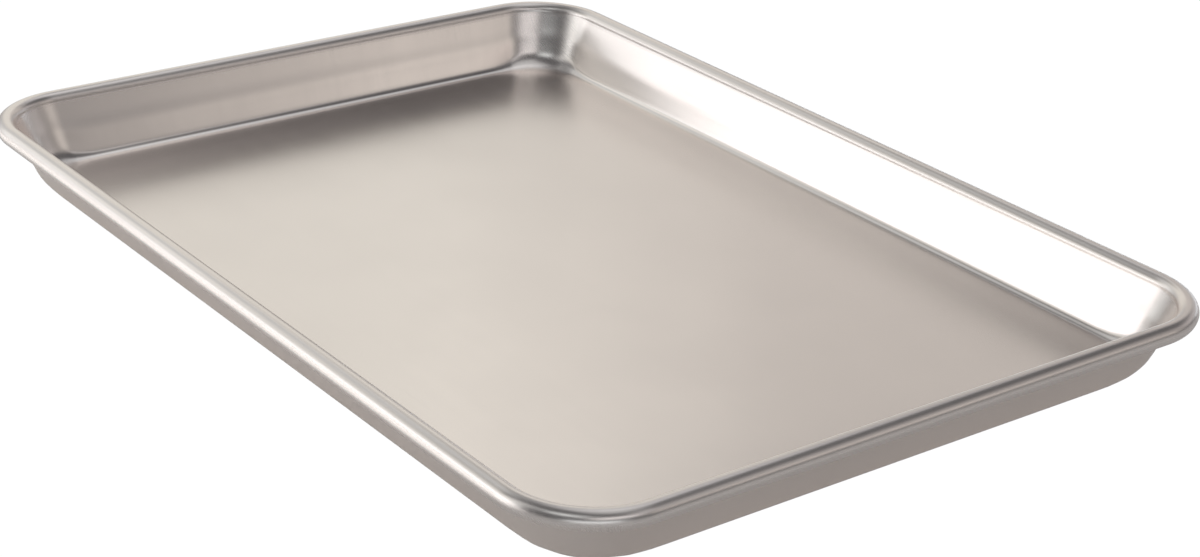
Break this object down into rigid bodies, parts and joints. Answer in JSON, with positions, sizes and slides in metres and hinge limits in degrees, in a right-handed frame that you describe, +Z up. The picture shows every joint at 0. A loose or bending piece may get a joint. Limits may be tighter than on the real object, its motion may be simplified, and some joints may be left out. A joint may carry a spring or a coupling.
{
  "type": "jelly roll pan",
  "caption": "Shallow rectangular baking pan with rounded corners, leaning walls and a rim rolled round a stiffening wire, for sheet cakes, rolled sponges and biscuits.",
  "frame": {"origin": "under the middle of the floor, on the surface that the pan stands on", "axes": "+X along the longer sides, +Y along the shorter sides, +Z up out of the well"},
  "size_m": [0.4, 0.287, 0.027],
  "materials": {
    "aluminium_sheet": "uncoated sheet, satin from rolling on the floor and brighter where the walls and the rim are drawn",
    "galvanised_wire": "dull grey zinc coating"
  },
  "bodies": {
    "root": {"pan_shell": "aluminium_sheet", "rim_wire": "galvanised_wire"}
  },
  "joints": []
}
